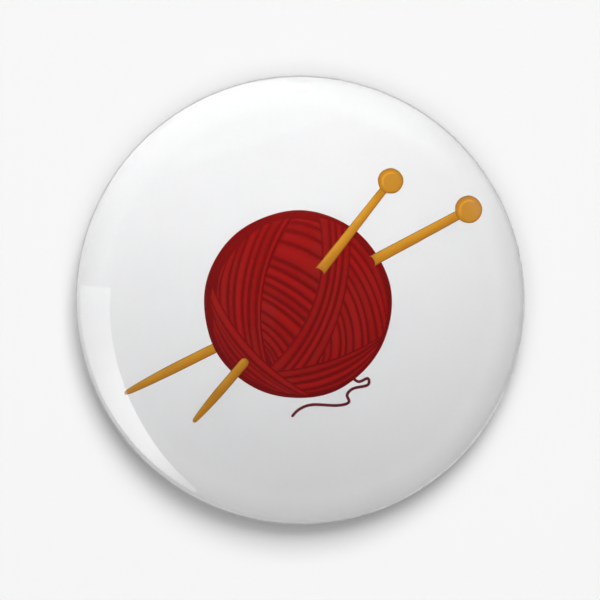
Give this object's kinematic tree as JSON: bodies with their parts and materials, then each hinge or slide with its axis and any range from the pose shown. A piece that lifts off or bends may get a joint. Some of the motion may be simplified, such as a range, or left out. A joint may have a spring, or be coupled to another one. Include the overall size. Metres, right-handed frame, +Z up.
{
  "type": "pin-back button badge",
  "caption": "Round domed button badge with a yarn ball and knitting needles print, clear film over paper on a tinplate shell, and a sprung wire pin behind.",
  "frame": {"origin": "centre of the rear rim's plane, which lies against the cloth", "axes": "upright as worn: the face looks along -Y, the back along +Y into the cloth, +Z is up"},
  "size_m": [0.058, 0.0086, 0.058],
  "materials": {
    "clear_film": "clear, glossy",
    "printed_paper": "white, printed with a red yarn ball and two ochre needles",
    "tinplate": "bright rolled tinplate",
    "pin_wire": "bright nickel-plated"
  },
  "bodies": {
    "badge": {"clear_film": "clear_film", "printed_paper": "printed_paper", "front_shell": "tinplate", "back_plate": "tinplate", "pin_anchor": "pin_wire"},
    "pin": {"pin_stem": "pin_wire"}
  },
  "joints": [
    {"name": "pin_open", "type": "hinge", "parent": "badge", "child": "pin", "pos_m": [-0.0197, -0.0017, 0.001], "axis": [0, 0.4198, 0.9076], "range_deg": [0, 35], "stiffness_Nm_per_rad": 0.02}
  ]
}
